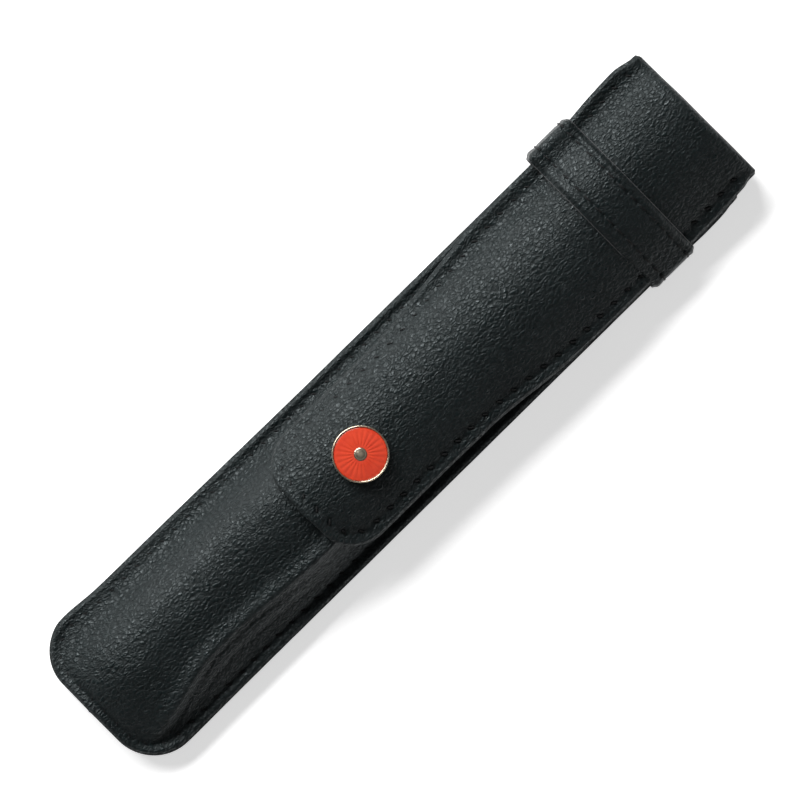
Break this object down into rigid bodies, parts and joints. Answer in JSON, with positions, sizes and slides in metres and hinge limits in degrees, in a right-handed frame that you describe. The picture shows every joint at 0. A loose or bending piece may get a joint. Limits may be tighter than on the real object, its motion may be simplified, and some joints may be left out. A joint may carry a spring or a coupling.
{
  "type": "fountain pen case",
  "caption": "Slim black leather pen case: a sewn pouch with a bulged front, and a flap whose long tongue tucks under a fixed keeper band; small round enamel badge.",
  "frame": {"origin": "centre of the closed case's box, at the ground, with the case lying on its back", "axes": "+Y along the case towards the fold, +X to the right seen from the front, +Z out of the front face"},
  "size_m": [0.0364, 0.165, 0.0168],
  "materials": {
    "leather": "black pebbled leather, soft satin",
    "lining": "dark grey microsuede lining",
    "board": "fibre stiffener board, seen only at cut edges",
    "thread": "black twisted polyester thread",
    "rim_metal": "pale champagne plated metal, polished",
    "enamel": "translucent red enamel over engine-turned rays",
    "washer_metal": "plain nickel-plated washer"
  },
  "bodies": {
    "pouch": {"back_panel": "leather", "back_stiffener": "board", "back_lining": "lining", "front_panel": "leather", "front_lining": "lining", "body_stitching": "thread", "mouth_stitching": "thread", "keeper_band": "leather", "keeper_lining": "lining", "keeper_stitch_lower": "thread", "keeper_stitch_upper": "thread", "keeper_tack": "thread"},
    "fold": {"fold_leather": "leather", "fold_lining": "lining"},
    "flap_upper": {"flap_leather": "leather", "flap_stiffener": "board", "flap_lining": "lining", "flap_stitching": "thread"},
    "tongue": {"tongue_leather": "leather", "tongue_stiffener": "board", "tongue_lining": "lining", "tongue_stitching": "thread", "badge_rim": "rim_metal", "badge_enamel": "enamel", "badge_cap": "rim_metal", "badge_washer": "washer_metal"}
  },
  "joints": [
    {"name": "fold_back", "type": "hinge", "parent": "pouch", "child": "fold", "pos_m": [0, 0.0818, 0.002], "axis": [-1, 0, 0], "range_deg": [0, 90], "deforming": ["keeper_band", "keeper_lining", "keeper_stitch_lower", "keeper_stitch_upper", "keeper_tack"]},
    {"name": "fold_front", "type": "hinge", "parent": "fold", "child": "flap_upper", "pos_m": [0, 0.0818, 0.0145], "axis": [-1, 0, 0], "range_deg": [0, 90]},
    {"name": "tongue_lift", "type": "hinge", "parent": "flap_upper", "child": "tongue", "pos_m": [0, 0.0519, 0.0145], "axis": [1, 0, 0], "range_deg": [-50, 0]}
  ],
  "couplings": [
    {"joint": "fold_front", "follows": "fold_back", "ratio": 1}
  ]
}
